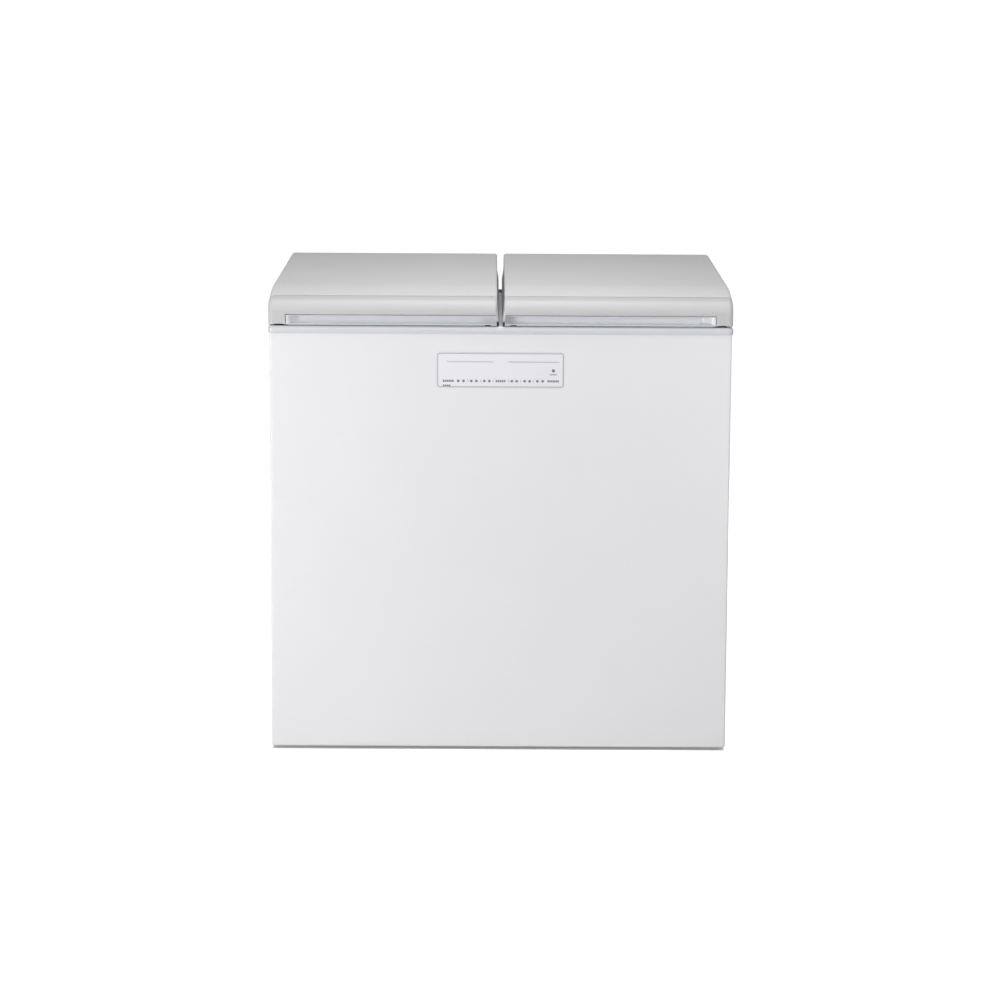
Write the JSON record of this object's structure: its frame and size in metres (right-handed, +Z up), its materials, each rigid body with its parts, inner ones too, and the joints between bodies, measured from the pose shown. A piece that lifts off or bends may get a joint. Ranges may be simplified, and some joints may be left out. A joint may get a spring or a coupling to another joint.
{
  "type": "kimchi refrigerator",
  "caption": "Chest-type kimchi refrigerator with rear-hinged top lids, a front touch control window and insulated food compartments.",
  "frame": {"origin": "on the floor, under the middle of the cabinet's width and depth", "axes": "+X to the right of someone facing the front, +Y from the front to the back, +Z up"},
  "size_m": [0.906, 0.73, 0.915],
  "materials": {
    "white_steel": "satin",
    "grey_steel": "matte",
    "zinc_steel": "satin",
    "black_steel": "satin",
    "frame_plastic": "satin",
    "lid_plastic": "satin",
    "liner_plastic": "satin",
    "window_plastic": "gloss",
    "dark_plastic": "matte",
    "light_plastic": "matte",
    "black_rubber": "matte",
    "grey_rubber": "matte",
    "rigid_foam": "matte",
    "tub_aluminium": "satin",
    "fin_aluminium": "satin",
    "copper": "satin",
    "circuit_board": "satin",
    "container_plastic": "satin",
    "container_lid_plastic": "satin"
  },
  "bodies": {
    "cabinet": {"front_panel": "white_steel", "side_panel_left": "white_steel", "side_panel_right": "white_steel", "back_panel": "grey_steel", "machine_cover": "grey_steel", "base_pan": "zinc_steel", "top_frame": "frame_plastic", "lid_bumpers": "black_rubber", "foam_block": "rigid_foam", "tub_left": "tub_aluminium", "tub_right": "tub_aluminium", "evaporator_left": "tub_aluminium", "evaporator_right": "tub_aluminium", "compressor": "black_steel", "compressor_mounts": "black_rubber", "starter_box": "dark_plastic", "condenser_tube": "copper", "condenser_fins": "fin_aluminium", "fan_shroud": "dark_plastic", "fan_motor": "dark_plastic", "filter_drier": "copper", "control_valve": "zinc_steel", "refrigerant_tubes": "copper", "control_window": "window_plastic", "control_housing": "light_plastic", "control_board": "circuit_board", "power_case": "light_plastic", "power_board": "circuit_board", "cord_gland": "black_rubber", "caster_brackets": "zinc_steel", "caster_axles": "zinc_steel", "hinge_brackets": "zinc_steel", "hinge_pins": "zinc_steel", "hinge_springs": "zinc_steel", "screws": "zinc_steel", "front_box_left": "container_plastic", "front_box_lid_left": "container_lid_plastic", "rear_box_left": "container_plastic", "rear_box_lid_left": "container_lid_plastic", "front_box_right": "container_plastic", "front_box_lid_right": "container_lid_plastic", "rear_box_right": "container_plastic", "rear_box_lid_right": "container_lid_plastic"},
    "lid_left": {"lid_cover_left": "lid_plastic", "lid_trim_left": "lid_plastic", "lid_liner_left": "liner_plastic", "lid_foam_left": "rigid_foam", "lid_gasket_left": "grey_rubber", "lid_hinges_left": "zinc_steel"},
    "lid_right": {"lid_cover_right": "lid_plastic", "lid_trim_right": "lid_plastic", "lid_liner_right": "liner_plastic", "lid_foam_right": "rigid_foam", "lid_gasket_right": "grey_rubber", "lid_hinges_right": "zinc_steel"},
    "fan": {"fan_blade": "light_plastic"},
    "wheel_left": {"caster_wheel_left": "dark_plastic"},
    "wheel_right": {"caster_wheel_right": "dark_plastic"},
    "leveller_left": {"foot_left": "dark_plastic"},
    "leveller_right": {"foot_right": "dark_plastic"}
  },
  "joints": [
    {"name": "lid_left_hinge", "type": "hinge", "parent": "cabinet", "child": "lid_left", "pos_m": [-0.22775, 0.3295, 0.8825], "axis": [-1, 0, 0], "range_deg": [0, 80], "stiffness_Nm_per_rad": 4.5, "springref_deg": 114.59},
    {"name": "lid_right_hinge", "type": "hinge", "parent": "cabinet", "child": "lid_right", "pos_m": [0.22775, 0.3295, 0.8825], "axis": [-1, 0, 0], "range_deg": [0, 80], "stiffness_Nm_per_rad": 4.5, "springref_deg": 114.59},
    {"name": "fan_spin", "type": "hinge", "parent": "cabinet", "child": "fan", "pos_m": [-0.08, 0.242, 0.1095], "axis": [1, 0, 0], "continuous": true},
    {"name": "caster_left_roll", "type": "hinge", "parent": "cabinet", "child": "wheel_left", "pos_m": [-0.385, 0.305, 0.013], "axis": [1, 0, 0], "continuous": true},
    {"name": "caster_right_roll", "type": "hinge", "parent": "cabinet", "child": "wheel_right", "pos_m": [0.385, 0.305, 0.013], "axis": [1, 0, 0], "continuous": true},
    {"name": "foot_left_turn", "type": "hinge", "parent": "cabinet", "child": "leveller_left", "pos_m": [-0.39, -0.31, 0], "axis": [0, 0, 1], "continuous": true},
    {"name": "foot_right_turn", "type": "hinge", "parent": "cabinet", "child": "leveller_right", "pos_m": [0.39, -0.31, 0], "axis": [0, 0, 1], "continuous": true}
  ]
}
